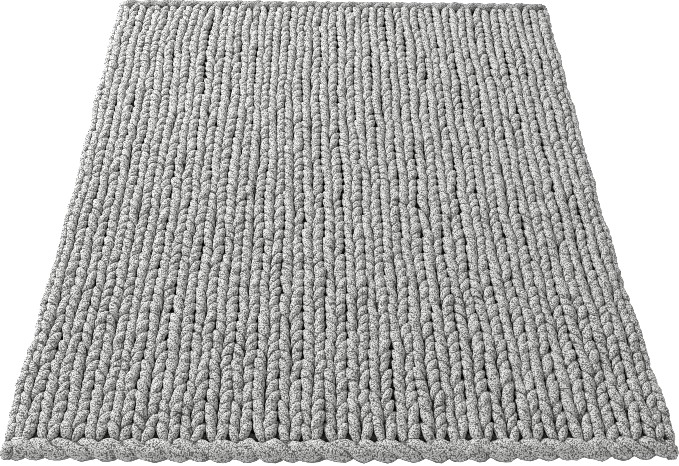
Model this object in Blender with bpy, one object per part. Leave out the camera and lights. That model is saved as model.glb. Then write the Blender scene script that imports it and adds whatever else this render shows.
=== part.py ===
"""A chunky knit blanket lying flat: one knitted cloth with a chained edge at each end.

Metres, +Z up. X runs across the blanket, +Y from the near, cast-off end to the far, cast-on
end. The origin is under the middle of the blanket, on the surface that it lies on.

The cloth is plain stocking stitch in very thick chenille yarn. Each column of stitches is a
rib with two legs, and the ribs are raised in the points of the top face. So are the chained
ends, which stand a little prouder, and the knots at the four corners. The single stitches
are finer than this solid: there are about 1650 of them.
"""

import math

import bmesh
import bpy

# Driving sizes, in metres.
WIDTH = 1.270
LENGTH = 1.524
COLUMNS = 28  # columns of stitches across the blanket
STITCH_ROWS = 59  # rows of stitches between the two chained ends
ROWS_PER_BUMP = 2  # the yarn turns back at a side once every two rows
CAST_OFF_BAND = 0.040  # width of the chained edge at the near end
CAST_ON_BAND = 0.034  # width of the roll at the far end
LEG_TOP = 0.0335  # height of a leg of yarn above the surface
COLUMN_GROOVE = 0.0195  # height of the groove between two columns
LEG_GROOVE = 0.0250  # height of the groove between the two legs of one column
RIM_HEIGHT = 0.0150  # where the outline is widest
UNDERCUT = 0.0090  # how far the flat underside stays inside the outline

# How the outline is uneven.
NEAR_BOW = 0.010  # the near end's middle stands out this far past its corners
FAR_BOW = 0.002
LEFT_FLARE = 0.008  # the near end widens by this on each side
RIGHT_FLARE = 0.012
FLARE_REACH = 0.60  # the widening starts this far from the near end
WAIST = 0.004  # the sides draw in at the middle
CHAIN_SCALLOP = 0.0035  # the two ends bulge once for each column
SIDE_BUMP = 0.0030  # the sides bulge once for each turn of the yarn
SIDE_WAVE = 0.0022
SIDE_WAVE_LENGTH = 0.230
EDGE_HOLD = 14  # a high power keeps a shift close to an edge
SIDE_HOLD = 6

# Knots at the four corners.
KNOT_SWELL = 0.006
KNOT_REACH = 0.030
KNOT_INSET_X = 0.015
KNOT_INSET_Y = 0.018

# The columns lie closer on the left half, and lean at the far end.
FAR_CROWDING = 0.015
NEAR_CROWDING = 0.007
FAR_LEAN = 0.012
FAR_LEAN_REACH = 0.075

# Where the hand of the knitter pushed the columns sideways:
# x, y, reach across, reach along, shift
PUSHES = (
    (-0.435, 0.530, 0.085, 0.100, -0.0065),
    (-0.435, 0.280, 0.085, 0.100, 0.0050),
    (-0.235, 0.360, 0.075, 0.190, 0.0060),
    (-0.095, 0.340, 0.070, 0.120, -0.0060),
    (0.085, 0.290, 0.085, 0.130, -0.0050),
    (0.235, 0.500, 0.055, 0.170, 0.0080),
    (0.245, 0.160, 0.060, 0.110, 0.0050),
    (0.365, 0.560, 0.070, 0.110, -0.0030),
    (-0.395, -0.290, 0.080, 0.160, -0.0050),
    (0.185, -0.270, 0.085, 0.200, -0.0045),
)

# Low swells where the cloth does not lie quite flat: x, y, reach, height
SWELLS = (
    (-0.330, 0.100, 0.150, 0.0030),
    (0.390, -0.080, 0.130, 0.0035),
    (0.060, -0.480, 0.180, 0.0025),
    (0.180, 0.470, 0.160, 0.0030),
)

# Across one column, from its left groove: place in columns, height
RIB_SECTION = (
    (0.00, COLUMN_GROOVE),
    (0.25, LEG_TOP),
    (0.50, LEG_GROOVE),
    (0.75, LEG_TOP - 0.0010),
)

# Across the chained near end, from the outline inwards: distance in, height
CAST_OFF_SECTION = (
    (0.0000, RIM_HEIGHT),
    (0.0100, 0.0300),
    (0.0195, 0.0270),
    (0.0290, 0.0350),
    (0.0385, 0.0230),
)

# Across the rolled far end, from the outline inwards: distance in, height
CAST_ON_SECTION = (
    (0.0000, RIM_HEIGHT),
    (0.0075, 0.0290),
    (0.0155, 0.0350),
    (0.0240, 0.0310),
    (0.0325, 0.0215),
)
CHAIN_LUMP = 0.0018  # each link of an end stands up by this in its middle

# The ribs are a little higher here and lower there: size, and waves per column and metre
UNEVENNESS = 0.0012
UNEVEN_ACROSS = (2.3, 1.7)
UNEVEN_ALONG = (9.0, -23.0)

COLOUR = (0.42, 0.42, 0.41, 1.0)
ROUGHNESS = 0.95
SHARP_ANGLE = math.radians(60)


def clear_scene():
    for old in list(bpy.data.objects):
        bpy.data.objects.remove(old)


def hill(distance, reach):
    """1 at no distance, falling smoothly to nothing a few reaches away."""
    return math.exp(-((distance / reach) ** 2))


def ease(share):
    share = min(1.0, max(0.0, share))
    return share * share * (3.0 - 2.0 * share)


def side_shift(x, y):
    """How far a point of the even cloth is pushed sideways."""
    from_near = LENGTH / 2 + y
    from_far = LENGTH / 2 - y
    side = 2.0 * x / WIDTH
    flare = RIGHT_FLARE * max(0.0, side) + LEFT_FLARE * min(0.0, side)
    flare *= ease(1.0 - from_near / FLARE_REACH)
    waist = -WAIST * side * hill(y, LENGTH / 4)
    to_near = ease(from_far / LENGTH)
    crowding = FAR_CROWDING + (NEAR_CROWDING - FAR_CROWDING) * to_near
    crowding *= math.cos(math.pi * x / WIDTH)
    lean = FAR_LEAN * hill(from_far, FAR_LEAN_REACH) * ease((1.0 - side) / 2)
    pushed = sum(
        shift * hill(x - at_x, across) * hill(y - at_y, along)
        for at_x, at_y, across, along, shift in PUSHES
    )
    inner = 1.0 - abs(side) ** SIDE_HOLD
    return flare + waist + inner * (pushed + lean - crowding)


def side_wave(x, y):
    """The slow wave of the two long edges, which dies out inside the cloth."""
    side = 2.0 * x / WIDTH
    turn = 2.0 * math.pi * y / SIDE_WAVE_LENGTH + side
    return SIDE_WAVE * math.copysign(abs(side) ** SIDE_HOLD, side) * math.sin(turn)


def end_shift(column, y):
    """How far the two ends bow, and bulge once for each column."""
    end = 2.0 * y / LENGTH
    spread = 1.0 - (2.0 * column / COLUMNS - 1.0) ** 2
    bow = NEAR_BOW * spread if end < 0 else FAR_BOW * spread
    bulge = CHAIN_SCALLOP * math.sin(math.pi * (column % 1.0))
    return math.copysign((bow + bulge) * abs(end) ** EDGE_HOLD, end)


def lay(column, y):
    """The place in plan of a point, given by its column and its even distance along."""
    x = WIDTH * (column / COLUMNS - 0.5)
    placed_x = x + side_shift(x, y) + side_wave(x, y)
    return placed_x, y + end_shift(column, y)


def swell(x, y):
    return sum(
        height * hill(math.hypot(x - at_x, y - at_y), reach)
        for at_x, at_y, reach, height in SWELLS
    )


def knot(x, y):
    """The corner knots, as a share of their full size."""
    from_x = abs(x) - (WIDTH / 2 - KNOT_INSET_X)
    from_y = abs(y) - (LENGTH / 2 - KNOT_INSET_Y)
    return hill(math.hypot(from_x, from_y), KNOT_REACH)


def stations():
    """Even distances along, near end first, each with its height at an end or None."""
    near = [(-LENGTH / 2 + inwards, height) for inwards, height in CAST_OFF_SECTION]
    far = [(LENGTH / 2 - inwards, height) for inwards, height in CAST_ON_SECTION]
    bumps = STITCH_ROWS // ROWS_PER_BUMP
    pitch = (LENGTH - CAST_OFF_BAND - CAST_ON_BAND) / bumps
    first = -LENGTH / 2 + CAST_OFF_BAND + pitch / 2
    middle = [(first + pitch * bump, None) for bump in range(bumps)]
    return near + middle + far[::-1]


def rib_height(index, column, y):
    """Height of the stitches at one point across, a little uneven from place to place."""
    uneven = UNEVENNESS
    for across, along in zip(UNEVEN_ACROSS, UNEVEN_ALONG):
        uneven *= math.sin(across * column + along * y)
    return RIB_SECTION[index % len(RIB_SECTION)][1] + uneven


def top_height(index, column, y, end_height):
    """Height of the top face at one point of the grid, before swells and knots."""
    if index in (0, COLUMNS * len(RIB_SECTION)) or end_height == RIM_HEIGHT:
        return RIM_HEIGHT
    if end_height is None:
        return rib_height(index, column, y)
    return end_height + CHAIN_LUMP * math.sin(math.pi * (column % 1.0))


def make_top(mesh):
    """The top face as a grid whose points are moved to their places."""
    steps_across = COLUMNS * len(RIB_SECTION)
    rows = stations()
    steps_along = len(rows) - 1
    made = bmesh.ops.create_grid(
        mesh, x_segments=steps_across, y_segments=steps_along, size=1.0
    )
    for vertex in made["verts"]:
        index = round((vertex.co.x + 1.0) / 2.0 * steps_across)
        row = round((vertex.co.y + 1.0) / 2.0 * steps_along)
        column = index // len(RIB_SECTION) + RIB_SECTION[index % len(RIB_SECTION)][0]
        even_y, end_height = rows[row]
        x, y = lay(column, even_y)
        height = top_height(index, column, y, end_height)
        share = knot(x, y)
        if height > RIM_HEIGHT:
            height += swell(x, y) + KNOT_SWELL / 2 * share
        x += math.copysign(KNOT_SWELL * share, x)
        y += math.copysign(KNOT_SWELL * share, y)
        vertex.co = (x, y, height)


def bulge_sides(mesh):
    """One bulge between each two stations of the long edges, where the yarn turns back."""
    long_edges = []
    for edge in mesh.edges:
        across, along, _ = edge.verts[1].co - edge.verts[0].co
        if edge.is_boundary and abs(along) > abs(across):
            long_edges.append(edge)
    made = bmesh.ops.subdivide_edges(mesh, edges=long_edges, cuts=1)
    for part in made["geom_inner"]:
        if isinstance(part, bmesh.types.BMVert):
            part.co.x += math.copysign(SIDE_BUMP, part.co.x)


def fit_to_size(mesh):
    """Centres the plan and brings it to the blanket's full width and length."""
    for axis, size in ((0, WIDTH), (1, LENGTH)):
        low = min(vertex.co[axis] for vertex in mesh.verts)
        high = max(vertex.co[axis] for vertex in mesh.verts)
        for vertex in mesh.verts:
            vertex.co[axis] = (vertex.co[axis] - (low + high) / 2) * size / (high - low)


def add_underside(mesh):
    """Turns the rim in to a flat underside, a little inside the outline."""
    rim = [edge for edge in mesh.edges if edge.is_boundary]
    made = bmesh.ops.extrude_edge_only(mesh, edges=rim)
    foot = [part for part in made["geom"] if isinstance(part, bmesh.types.BMVert)]
    for vertex in foot:
        vertex.co.x *= 1.0 - 2 * UNDERCUT / WIDTH
        vertex.co.y *= 1.0 - 2 * UNDERCUT / LENGTH
        vertex.co.z = 0.0
    loop = [edge for edge in mesh.edges if edge.is_boundary]
    bmesh.ops.edgeloop_fill(mesh, edges=loop)
    bmesh.ops.recalc_face_normals(mesh, faces=mesh.faces)


def yarn_material():
    material = bpy.data.materials.new("chenille_yarn")
    material.use_nodes = True
    shader = material.node_tree.nodes["Principled BSDF"]
    shader.inputs["Base Color"].default_value = COLOUR
    shader.inputs["Roughness"].default_value = ROUGHNESS
    shader.inputs["Metallic"].default_value = 0.0
    return material


def make_blanket(collection):
    mesh = bmesh.new()
    make_top(mesh)
    bulge_sides(mesh)
    fit_to_size(mesh)
    add_underside(mesh)
    data = bpy.data.meshes.new("knit_blanket")
    mesh.to_mesh(data)
    mesh.free()
    data.shade_smooth()
    data.set_sharp_from_angle(angle=SHARP_ANGLE)
    data.materials.append(yarn_material())
    collection.objects.link(bpy.data.objects.new("knit_blanket", data))


def main():
    clear_scene()
    collection = bpy.data.collections.new("chunky_knit_blanket")
    bpy.context.scene.collection.children.link(collection)
    make_blanket(collection)


main()
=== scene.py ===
"""The looks of the chunky knit blanket: every loop of its yarn, in soft grey chenille.

Metres, +Z up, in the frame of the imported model. The near, cast-off end is at -Y, and the
camera looks at it from above. The yarn is knitted as a real one is: one strand goes back and
forth across the blanket, turns at the sides, and forms a row of loops at each pass. The
strand of each loop comes up near the middle of its column, runs outwards on top, and dips
under the next row.
"""

import math

import bpy
import numpy as np
from mathutils import Matrix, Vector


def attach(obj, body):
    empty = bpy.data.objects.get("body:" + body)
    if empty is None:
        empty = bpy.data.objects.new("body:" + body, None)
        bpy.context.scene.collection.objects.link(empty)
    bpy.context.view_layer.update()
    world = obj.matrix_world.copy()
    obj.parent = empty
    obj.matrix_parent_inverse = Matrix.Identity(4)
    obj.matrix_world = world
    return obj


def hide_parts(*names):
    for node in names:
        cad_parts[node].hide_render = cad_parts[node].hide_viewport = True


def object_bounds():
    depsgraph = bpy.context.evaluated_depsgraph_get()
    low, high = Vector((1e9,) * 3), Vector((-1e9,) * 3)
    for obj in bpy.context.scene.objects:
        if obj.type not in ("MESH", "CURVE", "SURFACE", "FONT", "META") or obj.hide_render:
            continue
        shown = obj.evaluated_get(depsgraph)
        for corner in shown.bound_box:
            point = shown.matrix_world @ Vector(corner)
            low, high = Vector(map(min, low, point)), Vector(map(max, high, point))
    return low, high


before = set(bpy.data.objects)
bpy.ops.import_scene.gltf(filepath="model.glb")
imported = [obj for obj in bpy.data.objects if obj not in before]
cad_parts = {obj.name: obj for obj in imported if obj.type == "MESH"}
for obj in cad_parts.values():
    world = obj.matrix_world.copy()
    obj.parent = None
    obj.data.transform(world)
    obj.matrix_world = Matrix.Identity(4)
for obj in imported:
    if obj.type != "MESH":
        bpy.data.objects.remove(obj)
cad_low, cad_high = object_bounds()

# The size of the blanket, from the frame.
WIDTH = cad_high.x - cad_low.x
LENGTH = cad_high.y - cad_low.y

# How it is knitted, as in the solid.
COLUMNS = 28
STITCH_ROWS = 59
CAST_OFF_BAND = 0.040
CAST_ON_BAND = 0.034
COLUMN_PITCH = WIDTH / COLUMNS
ROW_PITCH = (LENGTH - CAST_OFF_BAND - CAST_ON_BAND) / STITCH_ROWS

# How the outline is uneven, as in the solid.
NEAR_BOW = 0.010
FAR_BOW = 0.002
LEFT_FLARE = 0.008
RIGHT_FLARE = 0.012
FLARE_REACH = 0.60
WAIST = 0.004
SIDE_WAVE = 0.0022
SIDE_WAVE_LENGTH = 0.230
EDGE_HOLD = 14  # how late the bow sets in towards an end
SIDE_HOLD = 6  # how late the wave sets in, and the pushes fade out, towards a side
FAR_CROWDING = 0.015
NEAR_CROWDING = 0.007
FAR_LEAN = 0.012
FAR_LEAN_REACH = 0.075

# Where the hand of the knitter pushed the columns sideways, as in the solid:
# x, y, reach across, reach along, shift
PUSHES = (
    (-0.435, 0.530, 0.085, 0.100, -0.0065),
    (-0.435, 0.280, 0.085, 0.100, 0.0050),
    (-0.235, 0.360, 0.075, 0.190, 0.0060),
    (-0.095, 0.340, 0.070, 0.120, -0.0060),
    (0.085, 0.290, 0.085, 0.130, -0.0050),
    (0.235, 0.500, 0.055, 0.170, 0.0080),
    (0.245, 0.160, 0.060, 0.110, 0.0050),
    (0.365, 0.560, 0.070, 0.110, -0.0030),
    (-0.395, -0.290, 0.080, 0.160, -0.0050),
    (0.185, -0.270, 0.085, 0.200, -0.0045),
)

# Low swells, as in the solid: x, y, reach, height
SWELLS = (
    (-0.330, 0.100, 0.150, 0.0030),
    (0.390, -0.080, 0.130, 0.0035),
    (0.060, -0.480, 0.180, 0.0025),
    (0.180, 0.470, 0.160, 0.0030),
)

# The strand in one half of a loop, from the column's edge to its middle. The columns are the
# distance from the column's middle, the distance towards the near end from the row's middle,
# the height, the radius, and how freely it varies.
LEFT_HALF = (
    (0.0229, -0.0180, 0.0100, 0.0092, 0.0),
    (0.0125, -0.0238, 0.0098, 0.0082, 0.1),
    (0.0048, -0.0244, 0.0120, 0.0060, 0.4),
    (0.0040, -0.0206, 0.0190, 0.0062, 0.8),
    (0.0052, -0.0164, 0.0220, 0.0067, 0.9),
    (0.0076, -0.0110, 0.0242, 0.0086, 1.0),
    (0.0114, 0.0000, 0.0246, 0.0099, 1.0),
    (0.0152, 0.0110, 0.0242, 0.0086, 1.0),
    (0.0176, 0.0164, 0.0220, 0.0067, 0.9),
    (0.0192, 0.0206, 0.0172, 0.0055, 0.8),
    (0.0182, 0.0246, 0.0100, 0.0056, 0.4),
    (0.0100, 0.0262, 0.0098, 0.0082, 0.1),
    (0.0000, 0.0256, 0.0100, 0.0092, 0.0),
)
RIGHT_HALF = (
    (0.0229, -0.0180, 0.0100, 0.0092, 0.0),
    (0.0135, -0.0240, 0.0098, 0.0082, 0.1),
    (0.0050, -0.0246, 0.0120, 0.0060, 0.4),
    (0.0042, -0.0208, 0.0190, 0.0062, 0.8),
    (0.0054, -0.0166, 0.0220, 0.0067, 0.9),
    (0.0077, -0.0112, 0.0242, 0.0086, 1.0),
    (0.0114, 0.0000, 0.0246, 0.0099, 1.0),
    (0.0151, 0.0112, 0.0242, 0.0086, 1.0),
    (0.0174, 0.0166, 0.0220, 0.0067, 0.9),
    (0.0190, 0.0208, 0.0172, 0.0055, 0.8),
    (0.0180, 0.0248, 0.0100, 0.0056, 0.4),
    (0.0095, 0.0264, 0.0098, 0.0082, 0.1),
    (0.0000, 0.0256, 0.0100, 0.0092, 0.0),
)

# The strand where it turns at a side: share of the way to the next row, distance out, height
SIDE_TURN = (
    (0.15, 0.0000, 0.0100),
    (0.50, 0.0010, 0.0115),
    (0.85, 0.0000, 0.0100),
)
TURN_RADIUS = 0.0085
TURN_INSET = 0.0080  # nothing of the strand's middle line lies nearer to a side
LOWEST = 0.9  # nor lower than this many of its radii

# The outermost legs roll down at the sides.
ROLL_REACH = 0.80  # in columns
ROLL_IN = 0.009
ROLL_DOWN = 0.28

# The rolled ends. Each is two strands that twist round each other: how far its middle line is
# inside the outline, how far its strands are from that line along the blanket and in height,
# the height of the line, the radius of a strand, and how far inside the sides it starts.
CAST_OFF_ROLL = (0.0216, 0.0080, 0.0042, 0.0172, 0.0138, 0.0300)
CAST_ON_ROLL = (0.0190, 0.0042, 0.0030, 0.0205, 0.0148, 0.0280)
TWIST_LENGTH = 2.0  # in columns
TWIST_STEPS = 12  # points for each column

# How the twist and the thickness of a rolled end vary: size, rate in each column, and how much
# of the end's or the strand's number shifts the wave.
TWIST_DRIFTS = ((0.35, 1.7, 1.0), (0.25, 0.61, 0.0))
ROLL_LUMPS = ((0.05, 2.0 * math.pi, 0.0), (0.04, 5.1, 1.0))

# Corner knots. Their strand goes up and down by their size, and its middle line reaches one and
# a half times as far outwards in each lobe. The inset and the height are those of the middle.
KNOT_SIZE = 0.0058
KNOT_STRAND = 0.0110  # the radius of the strand
KNOT_STEPS = 24
KNOT_FINENESS = 3.0  # its rings are this much closer together than those of the loops
KNOT_HEIGHT = 0.0185
KNOT_INSET = 0.0172

# Irregularity of the loops: the size of each random part.
VARY_ACROSS = 0.0017
VARY_ALONG = 0.0034
VARY_HEIGHT = 0.0017
VARY_RADIUS = 0.085
SLACK_PATCH = 0.060  # neighbouring loops share part of their irregularity
LOOSE_SHARE = 0.75
SHARED_SHARE = 0.65
WANDERS = ((0.050, 0.110, 0.0032), (0.040, 0.050, 0.0016))  # across, along, shift
SEED = 7

# The mesh of the yarn: its rings are closer together where the strand lies on top.
TOP_SPACING = 0.0058
LOW_SPACING = 0.0094
TOP_HEIGHT = (0.013, 0.019)  # on top is above the second, and low is below the first
CURVE_STEPS = 6  # finer points for each point of a strand, before the rings are placed
SIDES = 10
SQUARENESS = 0.92  # one is round
ROWS_PER_PIECE = 12
LUMPS = ((0.018, 0.10), (0.0085, 0.12))  # size of the lumps, share of the radius
LATTICE = 32  # the random numbers repeat after this many lumps

# The strands of the two legs in a column have the numbers of two ropes, counted from the
# middle of the blanket. These two stand for the strands outside the columns.
ROLL_ROPE = -1000
KNOT_ROPE = -2000

# The painted shade in the gaps: the grid that holds the tops of the yarn, and how far off they
# count.
SKY_CELL = 0.0025
SKY_STEPS = (0.0035, 0.0055, 0.0080, 0.0110, 0.0150, 0.0210)
SKY_DIRECTIONS = 8

# Where strands lie against each other: the grid that holds the rings, and how many rings along
# its own strand a point doesn't count.
TOUCH_CELL = 0.012
OWN_RINGS = 7

# Strands nestle inside one rope of loops and at a roll, and the painted shade along their seams is
# as faint as if the strands were this much farther apart: in the left and the right rope of a
# column, and how much it varies.
NESTLE = (0.0013, 0.0007)
NESTLE_VARY = 0.0017
NESTLE_PATCH = 0.045

# Painted shade on the ends, as their brightness beside the rest: the far roll, the near one's lower
# side, the knots.
CAST_ON_PAINTED_SHADE = 0.76
CAST_OFF_PAINTED_SHADE = 0.62
CAST_OFF_SHADE_HEIGHTS = (0.006, 0.030)  # from the first height up to the second its painted shade fades out
KNOT_PAINTED_SHADE = 0.85

# The pile: tufts and clumps for each metre, and the distance between its fine rings.
TUFTS = 360.0
CLUMPS = 90.0
CLUMP_DETAIL = 3.0
CLUMP_ROUGHNESS = 0.6
PILE_RING = 0.0060
PILE_RING_WANDER = 9.0  # how far the clumps shift the rings, as an angle of their wave
TUFT_TOP = 0.95  # the height in the middle of a tuft, in the texture's own measure
PILE_RELIEF = 0.0015  # the real height for one of that measure
PILE_HEIGHTS = (1.0, 0.25, 0.10)  # shares of the tufts, the clumps and the rings
PILE_SHADES = (0.60, 0.40, 0.08)
DARK_GREY = (0.20, (0.57, 0.57, 0.561, 1.0))  # shade, colour
LIGHT_GREY = (0.70, (0.735, 0.735, 0.724, 1.0))

# What makes the yarn darker: the pits of the pile, and painted shade in the gaps and along the
# seams. Each is a range of a value, and the brightness at its two ends.
PITS = (0.48, 0.69, 1.0, 0.20)  # distance from the middle of a tuft, in the same measure
GAP_SHADE = (0.36, 0.76, 1.0, 0.24)  # painted shade in the gaps: share of the sky that is hidden
UPWARD = (-0.6, -0.2, 0.0, 1.0)  # how far a face looks up, for the share of the painted gap shade that counts
SEAM_SHADE = (-0.0002, 0.0026, 0.26, 1.0)  # painted shade along the seams: distance to the nearest other strand
SEAM_SHADE_UNEVEN = 0.007

# The floor, and a dark grey sheet under the blanket, a painted shadow where no light reaches through
# the yarn.
FLOOR_SIZE = 30.0
FLOOR_HEIGHT = -0.0008
FLOOR_WHITE = (0.9, 0.9, 0.9, 1.0)
FLOOR_GLOW = 0.85
SHADE_HEIGHT = -0.0004
SHADE_INSET = 0.025
SHADE_GREY = (0.08, 0.08, 0.08, 1.0)

# The studio: even light, and a soft lamp high up beyond the far left corner.
WORLD_STRENGTH = 0.45
KEY_AT = (-2.75, 1.95, 2.45)
KEY_SIZE = 2.2
KEY_POWER = 250.0

# The camera of the photo, fitted to the outline of the blanket.
CAMERA_AT = (-0.0460, -1.7402, 1.6234)
CAMERA_DOWN = math.radians(45.64)
CAMERA_YAW = math.radians(1.826)
CAMERA_ROLL = math.radians(1.536)
SENSOR = 36.0
LENS = 52.65
PIXEL_FILTER = 0.8  # in pixels

rng = np.random.default_rng(SEED)
lattice = rng.random((LATTICE, LATTICE, LATTICE)) * 2.0 - 1.0


def hill(distance, reach):
    """A bell that is one in the middle and about a third at its reach."""
    return np.exp(-((distance / reach) ** 2))


def ease(share):
    """A smooth step from zero to one."""
    share = np.clip(share, 0.0, 1.0)
    return share * share * (3.0 - 2.0 * share)


def side_shift(x, y):
    """How far a point of the even cloth is pushed sideways."""
    from_near = LENGTH / 2 + y
    from_far = LENGTH / 2 - y
    side = 2.0 * x / WIDTH
    flare = RIGHT_FLARE * np.maximum(0.0, side) + LEFT_FLARE * np.minimum(0.0, side)
    flare = flare * ease(1.0 - from_near / FLARE_REACH)
    waist = -WAIST * side * hill(y, LENGTH / 4)
    to_near = ease(from_far / LENGTH)
    crowding = FAR_CROWDING + (NEAR_CROWDING - FAR_CROWDING) * to_near
    crowding = crowding * np.cos(math.pi * np.clip(x / WIDTH, -0.5, 0.5))
    lean = FAR_LEAN * hill(from_far, FAR_LEAN_REACH) * ease((1.0 - side) / 2)
    pushed = sum(
        shift * hill(x - at_x, across) * hill(y - at_y, along)
        for at_x, at_y, across, along, shift in PUSHES
    )
    inner = 1.0 - np.minimum(1.0, np.abs(side)) ** SIDE_HOLD
    return flare + waist + inner * (pushed + lean - crowding)


def side_wave(x, y):
    """How far the sides wave in and out."""
    side = 2.0 * x / WIDTH
    turn = 2.0 * math.pi * y / SIDE_WAVE_LENGTH + side
    return SIDE_WAVE * np.sign(side) * np.abs(side) ** SIDE_HOLD * np.sin(turn)


def end_shift(x, y):
    """How far the ends bow outwards in their middles."""
    end = 2.0 * y / LENGTH
    spread = 1.0 - np.minimum(1.0, np.abs(2.0 * x / WIDTH)) ** 2
    bow = np.where(end < 0, NEAR_BOW, FAR_BOW) * spread
    return np.sign(end) * bow * np.abs(end) ** EDGE_HOLD


def wander(x, y):
    """How far the columns sway sideways, each in its own way."""
    inner = 1.0 - np.minimum(1.0, np.abs(2.0 * x / WIDTH)) ** SIDE_HOLD
    shift = 0.0
    for across, along, size in WANDERS:
        places = np.stack([x / across, y / along, np.full_like(x, size)], axis=-1)
        shift = shift + size * noise(places + LATTICE, 1.0)
    return inner * shift


def lay(points):
    """Moves points of the even cloth to where they lie: x, y, height, radius."""
    x, y, height, radius = np.moveaxis(points, -1, 0)
    x = x + wander(x, y)
    edge = WIDTH / 2 - np.abs(x)
    roll = 1.0 - ease(edge / (ROLL_REACH * COLUMN_PITCH))
    swell = sum(
        rise * hill(np.hypot(x - at_x, y - at_y), reach)
        for at_x, at_y, reach, rise in SWELLS
    )
    lifted = (height + swell) * (1.0 - ROLL_DOWN * roll)
    lifted = np.maximum(lifted, LOWEST * radius)
    placed_x = x + side_shift(x, y) + side_wave(x, y) - np.sign(x) * ROLL_IN * roll
    placed_y = y + end_shift(x, y)
    return np.stack([placed_x, placed_y, lifted, radius], axis=-1)


def smooth_random(shape):
    """Random numbers on the grid of loops, of which neighbours share a part."""
    loose = rng.normal(size=shape)
    shared = rng.normal(size=shape)
    reach = max(1, round(SLACK_PATCH / ROW_PITCH))
    kernel = np.hanning(2 * reach + 3)
    kernel = kernel / np.sqrt((kernel**2).sum())
    shared = np.apply_along_axis(np.convolve, 0, shared, kernel, mode="same")
    return LOOSE_SHARE * loose + SHARED_SHARE * shared


def loop_variation():
    """How each leg differs from an even one: across, along, height, and radius as a share."""
    shape = (STITCH_ROWS, COLUMNS, 2)
    sizes = (VARY_ACROSS, VARY_ALONG, VARY_HEIGHT, VARY_RADIUS)
    return np.stack([size * smooth_random(shape) for size in sizes], axis=-1)


def row_points(row, variation):
    """The strand's points in one row of loops, left to right: x, y, height, radius."""
    middle_y = LENGTH / 2 - CAST_ON_BAND - (row + 0.5) * ROW_PITCH
    points = []
    halves = ((-1.0, LEFT_HALF), (1.0, RIGHT_HALF[-2:0:-1]))  # points that they share come once
    for column in range(COLUMNS):
        middle_x = -WIDTH / 2 + (column + 0.5) * COLUMN_PITCH
        for side_index, (side, half) in enumerate(halves):
            change = variation[row, column, side_index]
            for across, along, height, radius, freedom in half:
                points.append(
                    (
                        middle_x + side * (across + change[0] * freedom),
                        middle_y - along - change[1] * freedom,
                        height + change[2] * freedom,
                        radius * (1.0 + change[3] * freedom),
                    )
                )
    _, along, height, radius, _ = RIGHT_HALF[0]
    points.append((WIDTH / 2, middle_y - along, height, radius))
    return np.array(points)


def turn_points(start, end):
    """The strand's points where it turns at a side, from one row to the next."""
    side = math.copysign(1.0, start[0])
    points = []
    for share, out, height in SIDE_TURN:
        x = start[0] + side * out
        y = start[1] + (end[1] - start[1]) * share
        points.append((x, y, height, TURN_RADIUS))
    return np.array(points)


def knitted_points(first_row, last_row, variation):
    """The strand through several rows, back and forth."""
    rows = []
    for row in range(first_row, last_row):
        points = row_points(row, variation)
        if row % 2:
            points = points[::-1]
        if rows:
            rows.append(turn_points(rows[-1][-1], points[0]))
        rows.append(points)
    if last_row < STITCH_ROWS:
        ahead = row_points(last_row, variation)
        ahead = ahead[::-1] if last_row % 2 else ahead
        rows.append(turn_points(rows[-1][-1], ahead[0]))
    points = np.concatenate(rows)
    points[:, 0] = points[:, 0].clip(TURN_INSET - WIDTH / 2, WIDTH / 2 - TURN_INSET)
    return points


def roll_points(end, shape, strand):
    """One of the two twisted strands along an end of the blanket."""
    inset, reach, rise, middle, radius, start = shape
    steps = np.arange(COLUMNS * TWIST_STEPS + 1) / TWIST_STEPS
    drift = sum(size * np.sin(rate * steps + shift * end) for size, rate, shift in TWIST_DRIFTS)
    turn = 2.0 * math.pi * steps / TWIST_LENGTH + math.pi * strand + drift
    x = (steps / COLUMNS - 0.5) * (WIDTH - 2 * start)
    y = end * (LENGTH / 2 - inset) - end * reach * np.cos(turn)
    height = middle + rise * np.sin(turn)
    lumps = 1.0
    for size, rate, shift in ROLL_LUMPS:
        lumps = lumps + size * np.sin(rate * steps + shift * strand)
    return np.stack([x, y, height, radius * lumps], axis=-1)


def knot_points(side, end):
    """A small overhand knot at one corner, with one of its three lobes outwards."""
    steps = np.linspace(0.0, 2.0 * math.pi, KNOT_STEPS + 1)
    x = np.sin(steps) + 2.0 * np.sin(2.0 * steps)
    y = np.cos(steps) - 2.0 * np.cos(2.0 * steps)
    turn = math.atan2(end, side) + math.pi / 2
    x, y = x * math.cos(turn) - y * math.sin(turn), x * math.sin(turn) + y * math.cos(turn)
    height = KNOT_HEIGHT - KNOT_SIZE * np.sin(3.0 * steps)
    at_x = side * (WIDTH / 2 - KNOT_INSET)
    at_y = end * (LENGTH / 2 - KNOT_INSET)
    radius = np.full_like(x, KNOT_STRAND)
    placed = [at_x + KNOT_SIZE / 2 * x, at_y + KNOT_SIZE / 2 * y, height, radius]
    return np.stack(placed, axis=-1)


def curve_through(points):
    """A smooth curve through points, as many finer points."""
    padded = np.concatenate([2 * points[:1] - points[1:2], points, 2 * points[-1:] - points[-2:-1]])
    before, here, there, after = padded[:-3], padded[1:-2], padded[2:-1], padded[3:]
    share = (np.arange(CURVE_STEPS) / CURVE_STEPS)[None, :, None]
    start, end = here[:, None], there[:, None]
    leave = (there - before)[:, None] / 2
    arrive = (after - here)[:, None] / 2
    curve = (
        start * (2 * share**3 - 3 * share**2 + 1)
        + leave * (share**3 - 2 * share**2 + share)
        + end * (3 * share**2 - 2 * share**3)
        + arrive * (share**3 - share**2)
    )
    return np.concatenate([curve.reshape(-1, points.shape[1]), points[-1:]])


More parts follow.
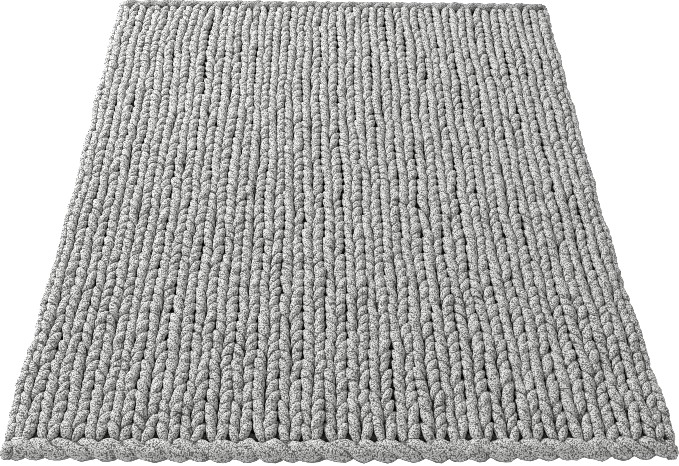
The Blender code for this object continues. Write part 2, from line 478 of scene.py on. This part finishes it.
def well_spaced(curve, fineness):
    """The same curve with a point for each ring, and the distance of each along it."""
    steps = np.linalg.norm(np.diff(curve[:, :3], axis=0), axis=1)
    middle = (curve[1:, 2] + curve[:-1, 2]) / 2
    on_top = ease((middle - TOP_HEIGHT[0]) / (TOP_HEIGHT[1] - TOP_HEIGHT[0]))
    rings = fineness * steps / (LOW_SPACING + (TOP_SPACING - LOW_SPACING) * on_top)
    along = np.concatenate([[0.0], np.cumsum(steps)])
    counted = np.concatenate([[0.0], np.cumsum(rings)])
    wanted = np.linspace(0.0, counted[-1], max(3, round(counted[-1])))
    columns = [np.interp(wanted, counted, column) for column in curve.T]
    return np.stack(columns, axis=-1), np.interp(wanted, counted, along)


def noise(places, size):
    """Smooth noise from -1 to 1 at places in space, with lumps of one size."""
    scaled = places / size
    low = np.floor(scaled).astype(int)
    part = ease(scaled - low)
    total = 0.0
    for corner in range(8):
        step = np.array([corner & 1, corner >> 1 & 1, corner >> 2 & 1])
        weight = np.prod(np.where(step, part, 1.0 - part), axis=-1)
        cell = (low + step) % LATTICE
        total = total + weight * lattice[cell[..., 0], cell[..., 1], cell[..., 2]]
    return total


def unit(vectors):
    """The same directions, one long."""
    return vectors / np.linalg.norm(vectors, axis=-1, keepdims=True)


def squared(share):
    """Presses a round section a little flat, as between neighbouring strands."""
    return np.sign(share) * np.abs(share) ** SQUARENESS


def tube(points, distance):
    """The rings of points round a strand, lumpy as chenille is: rings, sides, 3."""
    centre, radius = points[:, :3], points[:, 3]
    ahead = unit(np.gradient(centre, axis=0))
    sideways = unit(np.cross(ahead, (0.0, 0.0, 1.0)))
    upwards = np.cross(sideways, ahead)
    angle = 2.0 * math.pi * np.arange(SIDES) / SIDES
    spoke = (
        squared(np.cos(angle))[None, :, None] * sideways[:, None]
        + squared(np.sin(angle))[None, :, None] * upwards[:, None]
    )
    surface = centre[:, None] + radius[:, None, None] * spoke
    swelling = 1.0
    for size, share in LUMPS:
        swelling = swelling + share * noise(surface + distance[:, None, None], size)
    surface = centre[:, None] + (radius[:, None] * swelling)[..., None] * spoke
    surface[..., 2] = np.maximum(surface[..., 2], 0.0)
    return surface


def store(mesh, name, values):
    """Gives each point of a mesh its value of an attribute."""
    layer = mesh.attributes.new(name, "FLOAT", "POINT")
    layer.data.foreach_set("value", values.astype(np.float32))


def stored(mesh, name):
    """The values of an attribute."""
    values = np.empty(len(mesh.vertices), dtype=np.float32)
    mesh.attributes[name].data.foreach_get("value", values)
    return values


def ring_corners(total):
    """The ring and the side of the four corners of each face between a strand's rings."""
    ring, side = np.meshgrid(np.arange(total - 1), np.arange(SIDES), indexing="ij")
    rings = np.stack([ring, ring, ring + 1, ring + 1], axis=-1)
    sides = np.stack([side, side + 1, side + 1, side], axis=-1)
    return rings.reshape(-1, 4), sides.reshape(-1, 4)


def yarn_piece(name, strands, material, rope=None, fineness=1.0):
    """One mesh from several strands, each a list of points in the even cloth.

    Without a rope's number, each point gets that of the rope where it lies.
    """
    vertices, faces, texture, ropes = [], [], [], []
    count = 0
    for strand in strands:
        laid = np.column_stack([lay(strand), np.floor(2.0 * strand[:, 0] / COLUMN_PITCH)])
        points, distance = well_spaced(curve_through(laid), fineness)
        total = len(points)
        vertices.append(tube(points, distance).reshape(-1, 3))
        ropes.append(np.repeat(np.round(points[:, 4]), SIDES))
        rings, sides = ring_corners(total)
        faces += (rings * SIDES + sides % SIDES + count).tolist()
        texture.append(np.stack([sides / SIDES, distance[rings]], axis=-1).reshape(-1, 2))
        for cap in (np.arange(SIDES)[::-1], (total - 1) * SIDES + np.arange(SIDES)):
            faces.append((cap + count).tolist())
            texture.append(np.zeros((SIDES, 2)))
        count += total * SIDES
    mesh = bpy.data.meshes.new(name)
    mesh.from_pydata(np.concatenate(vertices), [], faces)
    layer = mesh.uv_layers.new(name="yarn")
    layer.uv.foreach_set("vector", np.concatenate(texture).ravel())
    store(mesh, "rope", np.concatenate(ropes) if rope is None else np.full(count, rope))
    mesh.shade_smooth()
    mesh.materials.append(material)
    piece = bpy.data.objects.new(name, mesh)
    bpy.context.scene.collection.objects.link(piece)
    return piece


class Nodes:
    """Short names for adding and joining a material's nodes."""

    def __init__(self, tree):
        self.tree = tree

    def add(self, kind, **settings):
        node = self.tree.nodes.new(kind)
        for name, value in settings.items():
            setattr(node, name, value)
        return node

    def join(self, output, socket):
        self.tree.links.new(output, socket)

    def math(self, operation, first, second=0.0):
        node = self.add("ShaderNodeMath", operation=operation)
        for socket, value in zip(node.inputs, (first, second)):
            if isinstance(value, (int, float)):
                socket.default_value = value
            else:
                self.join(value, socket)
        return node.outputs[0]

    def mixed(self, values, shares):
        """The sum of values, each times its share."""
        total = self.math("MULTIPLY", values[0], shares[0])
        for value, share in zip(values[1:], shares[1:]):
            total = self.math("ADD", total, self.math("MULTIPLY", value, share))
        return total

    def parts(self, vector):
        """The three parts of a vector or a colour."""
        node = self.add("ShaderNodeSeparateXYZ")
        self.join(vector, node.inputs[0])
        return node.outputs

    def stored(self, name):
        """An attribute that the mesh holds."""
        return self.add("ShaderNodeAttribute", attribute_name=name).outputs["Fac"]

    def ranged(self, value, limits, **settings):
        """A value brought from the range of the first two limits to that of the last two."""
        node = self.add("ShaderNodeMapRange", **settings)
        for name, limit in zip(("From Min", "From Max", "To Min", "To Max"), limits):
            node.inputs[name].default_value = limit
        self.join(value, node.inputs["Value"])
        return node.outputs[0]

    def darkened(self, colour, brightness, share=None):
        """A colour times a brightness, wholly or by a share."""
        node = self.add("ShaderNodeMix", data_type="RGBA", blend_type="MULTIPLY")
        node.inputs[0].default_value = 1.0
        if share is not None:
            self.join(share, node.inputs[0])
        self.join(colour, node.inputs[6])
        self.join(brightness, node.inputs[7])
        return node.outputs[2]

    def noise(self, where, scale, detail, roughness):
        node = self.add("ShaderNodeTexNoise")
        node.inputs["Scale"].default_value = scale
        node.inputs["Detail"].default_value = detail
        node.inputs["Roughness"].default_value = roughness
        self.join(where, node.inputs["Vector"])
        return node.outputs["Fac"]


def pile_rings(nodes, clumps):
    """Fine uneven rings round the strand, where its pile parts."""
    around, along, _ = nodes.parts(nodes.add("ShaderNodeUVMap", uv_map="yarn").outputs["UV"])
    phase = nodes.math("MULTIPLY", along, 2.0 * math.pi / PILE_RING)
    turn = nodes.math("MULTIPLY", around, 2.0 * math.pi)
    wandering = nodes.math("MULTIPLY", clumps, PILE_RING_WANDER)
    return nodes.math("SINE", nodes.math("ADD", nodes.math("ADD", phase, turn), wandering))


def mottled_grey(nodes, shade):
    """The colour of the yarn, from the darker grey to the lighter one."""
    node = nodes.add("ShaderNodeValToRGB")
    for element, (position, colour) in zip(node.color_ramp.elements, (DARK_GREY, LIGHT_GREY)):
        element.position = position
        element.color = colour
    nodes.join(shade, node.inputs[0])
    return node.outputs[0]


def shaded(nodes, colour, clumps):
    """The colour with painted shade: darker in the gaps, along the seams and at the ends."""
    normal = nodes.add("ShaderNodeNewGeometry").outputs["True Normal"]
    upward = nodes.ranged(nodes.parts(normal)[2], UPWARD)
    colour = nodes.darkened(colour, nodes.ranged(nodes.stored("hidden"), GAP_SHADE), upward)
    uneven = nodes.math("MULTIPLY", nodes.math("SUBTRACT", clumps, 0.5), SEAM_SHADE_UNEVEN)
    apart = nodes.math("ADD", nodes.stored("touching"), uneven)
    painted_seam_shade = nodes.ranged(apart, SEAM_SHADE, interpolation_type="SMOOTHSTEP")
    return nodes.darkened(colour, nodes.math("MULTIPLY", painted_seam_shade, nodes.stored("end_shade")))


def yarn_material():
    """Soft matt chenille: short pile in fine rings round the strand, and mottled grey."""
    material = bpy.data.materials.new("chenille_yarn")
    material.use_nodes = True
    nodes = Nodes(material.node_tree)
    shader = material.node_tree.nodes["Principled BSDF"]
    where = nodes.add("ShaderNodeTexCoord").outputs["Object"]
    cells = nodes.add("ShaderNodeTexVoronoi")
    cells.inputs["Scale"].default_value = TUFTS
    nodes.join(where, cells.inputs["Vector"])
    clumps = nodes.noise(where, CLUMPS, CLUMP_DETAIL, CLUMP_ROUGHNESS)
    rings = pile_rings(nodes, clumps)

    tufts = nodes.math("SUBTRACT", TUFT_TOP, cells.outputs["Distance"])
    bump = nodes.add("ShaderNodeBump")
    bump.inputs["Strength"].default_value = 1.0
    bump.inputs["Distance"].default_value = PILE_RELIEF
    nodes.join(nodes.mixed((tufts, clumps, rings), PILE_HEIGHTS), bump.inputs["Height"])
    nodes.join(bump.outputs[0], shader.inputs["Normal"])

    each_tuft = nodes.parts(cells.outputs["Color"])[0]
    colour = mottled_grey(nodes, nodes.mixed((each_tuft, clumps, rings), PILE_SHADES))
    colour = nodes.darkened(colour, nodes.ranged(cells.outputs["Distance"], PITS))
    nodes.join(shaded(nodes, colour, clumps), shader.inputs["Base Color"])
    shader.inputs["Roughness"].default_value = 0.95
    shader.inputs["Specular IOR Level"].default_value = 0.15
    shader.inputs["Sheen Weight"].default_value = 0.25
    shader.inputs["Sheen Roughness"].default_value = 0.5
    return material


def make_blanket():
    """All of the yarn: the rows of loops, the rolled ends and the corner knots."""
    material = yarn_material()
    variation = loop_variation()
    pieces = []
    for first in range(0, STITCH_ROWS, ROWS_PER_PIECE):
        last = min(STITCH_ROWS, first + ROWS_PER_PIECE)
        strand = knitted_points(first, last, variation)
        name = f"knit_rows_{first + 1:02d}_to_{last:02d}"
        pieces.append(yarn_piece(name, [strand], material))
    for name, end, shape in (
        ("cast_off_roll", -1, CAST_OFF_ROLL),
        ("cast_on_roll", 1, CAST_ON_ROLL),
    ):
        strands = [roll_points(end, shape, strand) for strand in (0, 1)]
        pieces.append(yarn_piece(name, strands, material, ROLL_ROPE))
    knots = [knot_points(side, end) for side in (-1, 1) for end in (-1, 1)]
    pieces.append(yarn_piece("corner_knots", knots, material, KNOT_ROPE, KNOT_FINENESS))
    return pieces


def mark_hidden(pieces):
    """Stores how much of the sky the yarn around each point hides from it, for the painted shade in
    the gaps.
    """
    places = [piece_points(piece) for piece in pieces]
    spots = [places[number][face_corners(piece)].mean(axis=1) for number, piece in enumerate(pieces)]
    everywhere = np.concatenate(places + spots)
    border = SKY_STEPS[-1] + SKY_CELL
    low = everywhere.min(axis=0) - border
    size = everywhere.max(axis=0) + border - low
    tops = np.zeros(tuple((size[:2] / SKY_CELL).astype(int) + 1))
    cell = ((everywhere - low) / SKY_CELL).astype(int)
    np.maximum.at(tops, (cell[:, 0], cell[:, 1]), everywhere[:, 2])
    for axis in (0, 1):
        around = np.maximum(np.roll(tops, 1, axis), np.roll(tops, -1, axis))
        tops = np.where(tops == 0.0, around, tops)
    for piece, own in zip(pieces, places):
        hidden = np.zeros(len(own))
        for turn in 2.0 * math.pi * (np.arange(SKY_DIRECTIONS) + 0.5) / SKY_DIRECTIONS:
            steepest = np.zeros(len(own))
            for reach in SKY_STEPS:
                x = ((own[:, 0] + reach * math.cos(turn) - low[0]) / SKY_CELL).astype(int)
                y = ((own[:, 1] + reach * math.sin(turn) - low[1]) / SKY_CELL).astype(int)
                steepest = np.maximum(steepest, (tops[x, y] - own[:, 2]) / reach)
            hidden += steepest**2 / (1.0 + steepest**2) / SKY_DIRECTIONS
        store(piece.data, "hidden", hidden)


def mark_touching(pieces):
    """Stores how far each point is from the nearest other part of the yarn, which darkens the colour
    as painted shade along the seams.

    The rings of the strands are sorted into cells of a grid. Each point is then compared with
    the rings in its own cell and the eight beside it. A knot's strand isn't compared with itself
    or with a rolled end, because it would be in painted shade all over.
    """
    places = [piece_points(piece) for piece in pieces]
    spots = np.concatenate(places)
    rings = spots.reshape(-1, SIDES, 3)
    centres = rings.mean(axis=1)
    radii = np.linalg.norm(rings - centres[:, None], axis=2).mean(axis=1)
    low = centres[:, :2].min(axis=0) - 3 * TOUCH_CELL
    cell = ((centres[:, :2] - low) / TOUCH_CELL).astype(int)
    across, along = cell.max(axis=0) + 4
    number = cell[:, 0] * along + cell[:, 1]
    order = np.argsort(number, kind="stable")
    first = np.searchsorted(number[order], np.arange(across * along))
    count = np.bincount(number, minlength=across * along)
    own = np.repeat(np.arange(len(centres)), SIDES)
    rope = np.concatenate([stored(piece.data, "rope") for piece in pieces])[::SIDES].astype(int)
    nestle = np.where(rope[own] % 2, NESTLE[1], NESTLE[0])
    nestle = np.maximum(0.0, nestle + NESTLE_VARY * noise(spots, NESTLE_PATCH))
    at = ((spots[:, :2] - low) / TOUCH_CELL).astype(int)
    nearest = np.ones(len(spots))
    for step in range(9):
        beside = (at[:, 0] + step // 3 - 1) * along + at[:, 1] + step % 3 - 1
        for slot in range(count.max()):
            here = np.flatnonzero(count[beside] > slot)
            other = order[first[beside[here]] + slot]
            mine, theirs = rope[own[here]], rope[other]
            loose = np.maximum(mine, theirs) <= ROLL_ROPE
            knotted = loose & (np.minimum(mine, theirs) == KNOT_ROPE)
            kept = ~knotted & (np.abs(other - own[here]) > OWN_RINGS)
            here, other, mine, theirs = here[kept], other[kept], mine[kept], theirs[kept]
            room = np.linalg.norm(spots[here] - centres[other], axis=1) - radii[other]
            close = (mine == theirs) | (np.minimum(mine, theirs) <= ROLL_ROPE)
            room = room + np.where(close, nestle[here], 0.0)
            nearest[here] = np.minimum(nearest[here], room)
    start = 0
    for piece in pieces:
        end = start + len(piece.data.vertices)
        store(piece.data, "touching", nearest[start:end])
        start = end


def mark_end_shade(pieces):
    """Stores the painted shade on the ends: how bright the yarn is at each point beside the rest."""
    for piece in pieces:
        height = piece_points(piece)[:, 2]
        end_shade = np.ones(len(height))
        if piece.name == "cast_on_roll":
            end_shade = end_shade * CAST_ON_PAINTED_SHADE
        if piece.name == "corner_knots":
            end_shade = end_shade * KNOT_PAINTED_SHADE
        if piece.name == "cast_off_roll":
            low, high = CAST_OFF_SHADE_HEIGHTS
            end_shade = CAST_OFF_PAINTED_SHADE + (1.0 - CAST_OFF_PAINTED_SHADE) * ease((height - low) / (high - low))
        store(piece.data, "end_shade", end_shade)


def face_corners(piece):
    """The four corners of each four-sided face, by number."""
    faces = [face.vertices[:] for face in piece.data.polygons if len(face.vertices) == 4]
    return np.array(faces)


def piece_points(piece):
    """The places of a piece's points."""
    places = np.empty(len(piece.data.vertices) * 3, dtype=np.float32)
    piece.data.vertices.foreach_get("co", places)
    return places.reshape(-1, 3)


def fit_to_frame(pieces):
    """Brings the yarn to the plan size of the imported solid."""
    low = np.full(3, np.inf)
    high = np.full(3, -np.inf)
    shapes = []
    for piece in pieces:
        places = piece_points(piece)
        low = np.minimum(low, places.min(axis=0))
        high = np.maximum(high, places.max(axis=0))
        shapes.append(places)
    for piece, places in zip(pieces, shapes):
        for axis in (0, 1):
            grow = (cad_high[axis] - cad_low[axis]) / (high[axis] - low[axis])
            places[:, axis] = cad_low[axis] + (places[:, axis] - low[axis]) * grow
        piece.data.vertices.foreach_set("co", places.ravel())
        piece.data.update()


def make_floor():
    """The plain white floor. Its own glow makes it as white as the photo's."""
    bpy.ops.mesh.primitive_plane_add(size=FLOOR_SIZE, location=(0.0, 0.0, FLOOR_HEIGHT))
    floor = bpy.context.object
    floor.name = "floor"
    material = bpy.data.materials.new("floor_white")
    material.use_nodes = True
    shader = material.node_tree.nodes["Principled BSDF"]
    shader.inputs["Base Color"].default_value = FLOOR_WHITE
    shader.inputs["Roughness"].default_value = 0.9
    shader.inputs["Emission Color"].default_value = (1.0, 1.0, 1.0, 1.0)
    shader.inputs["Emission Strength"].default_value = FLOOR_GLOW
    floor.data.materials.append(material)


def make_shade():
    """A dark grey sheet under the blanket: a painted shadow where no light reaches through the yarn.
    """
    bpy.ops.mesh.primitive_plane_add(size=1.0, location=(0.0, 0.0, SHADE_HEIGHT))
    shade = bpy.context.object
    shade.name = "floor_shade"
    shade.scale = (WIDTH - 2 * SHADE_INSET, LENGTH - 2 * SHADE_INSET, 1.0)
    material = bpy.data.materials.new("floor_shade")
    material.use_nodes = True
    shader = material.node_tree.nodes["Principled BSDF"]
    shader.inputs["Base Color"].default_value = SHADE_GREY
    shader.inputs["Roughness"].default_value = 1.0
    shade.data.materials.append(material)


def make_lights():
    """Even light from all round, and one soft lamp that aims at the middle of the blanket."""
    world = bpy.data.worlds.new("studio")
    world.use_nodes = True
    background = world.node_tree.nodes["Background"]
    background.inputs["Color"].default_value = (1.0, 1.0, 1.0, 1.0)
    background.inputs["Strength"].default_value = WORLD_STRENGTH
    bpy.context.scene.world = world
    key = bpy.data.lights.new("key", "AREA")
    key.shape = "DISK"
    key.size = KEY_SIZE
    key.energy = KEY_POWER
    lamp = bpy.data.objects.new("key", key)
    lamp.location = KEY_AT
    direction = -lamp.location.normalized()
    lamp.rotation_mode = "QUATERNION"
    lamp.rotation_quaternion = direction.to_track_quat("-Z", "Y")
    bpy.context.scene.collection.objects.link(lamp)


def make_camera():
    """The camera, turned by how far it looks down, its yaw to the right and its roll."""
    down = CAMERA_DOWN
    yaw = CAMERA_YAW
    forward = np.array(
        [math.sin(yaw) * math.cos(down), math.cos(yaw) * math.cos(down), -math.sin(down)]
    )
    right = np.array([math.cos(yaw), -math.sin(yaw), 0.0])
    above = np.cross(right, forward)
    turned_right = math.cos(CAMERA_ROLL) * right + math.sin(CAMERA_ROLL) * above
    turned_above = -math.sin(CAMERA_ROLL) * right + math.cos(CAMERA_ROLL) * above
    axes = np.stack([turned_right, turned_above, -forward], axis=1)
    camera = bpy.data.objects.new("camera", bpy.data.cameras.new("camera"))
    camera.matrix_world = Matrix.Translation(CAMERA_AT) @ Matrix(axes.tolist()).to_4x4()
    camera.data.sensor_width = SENSOR
    camera.data.lens = LENS
    bpy.context.scene.collection.objects.link(camera)
    bpy.context.scene.camera = camera


def main():
    """The whole scene."""
    bpy.context.scene.view_settings.view_transform = "Standard"
    bpy.context.scene.cycles.filter_width = PIXEL_FILTER
    bpy.context.scene.cycles.use_denoising = False  # it would smear the pile
    make_camera()
    make_lights()
    make_floor()
    make_shade()
    pieces = make_blanket()
    fit_to_frame(pieces)
    mark_hidden(pieces)
    mark_touching(pieces)
    mark_end_shade(pieces)
    for piece in pieces:
        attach(piece, "root")
        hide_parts("knit_blanket")


main()
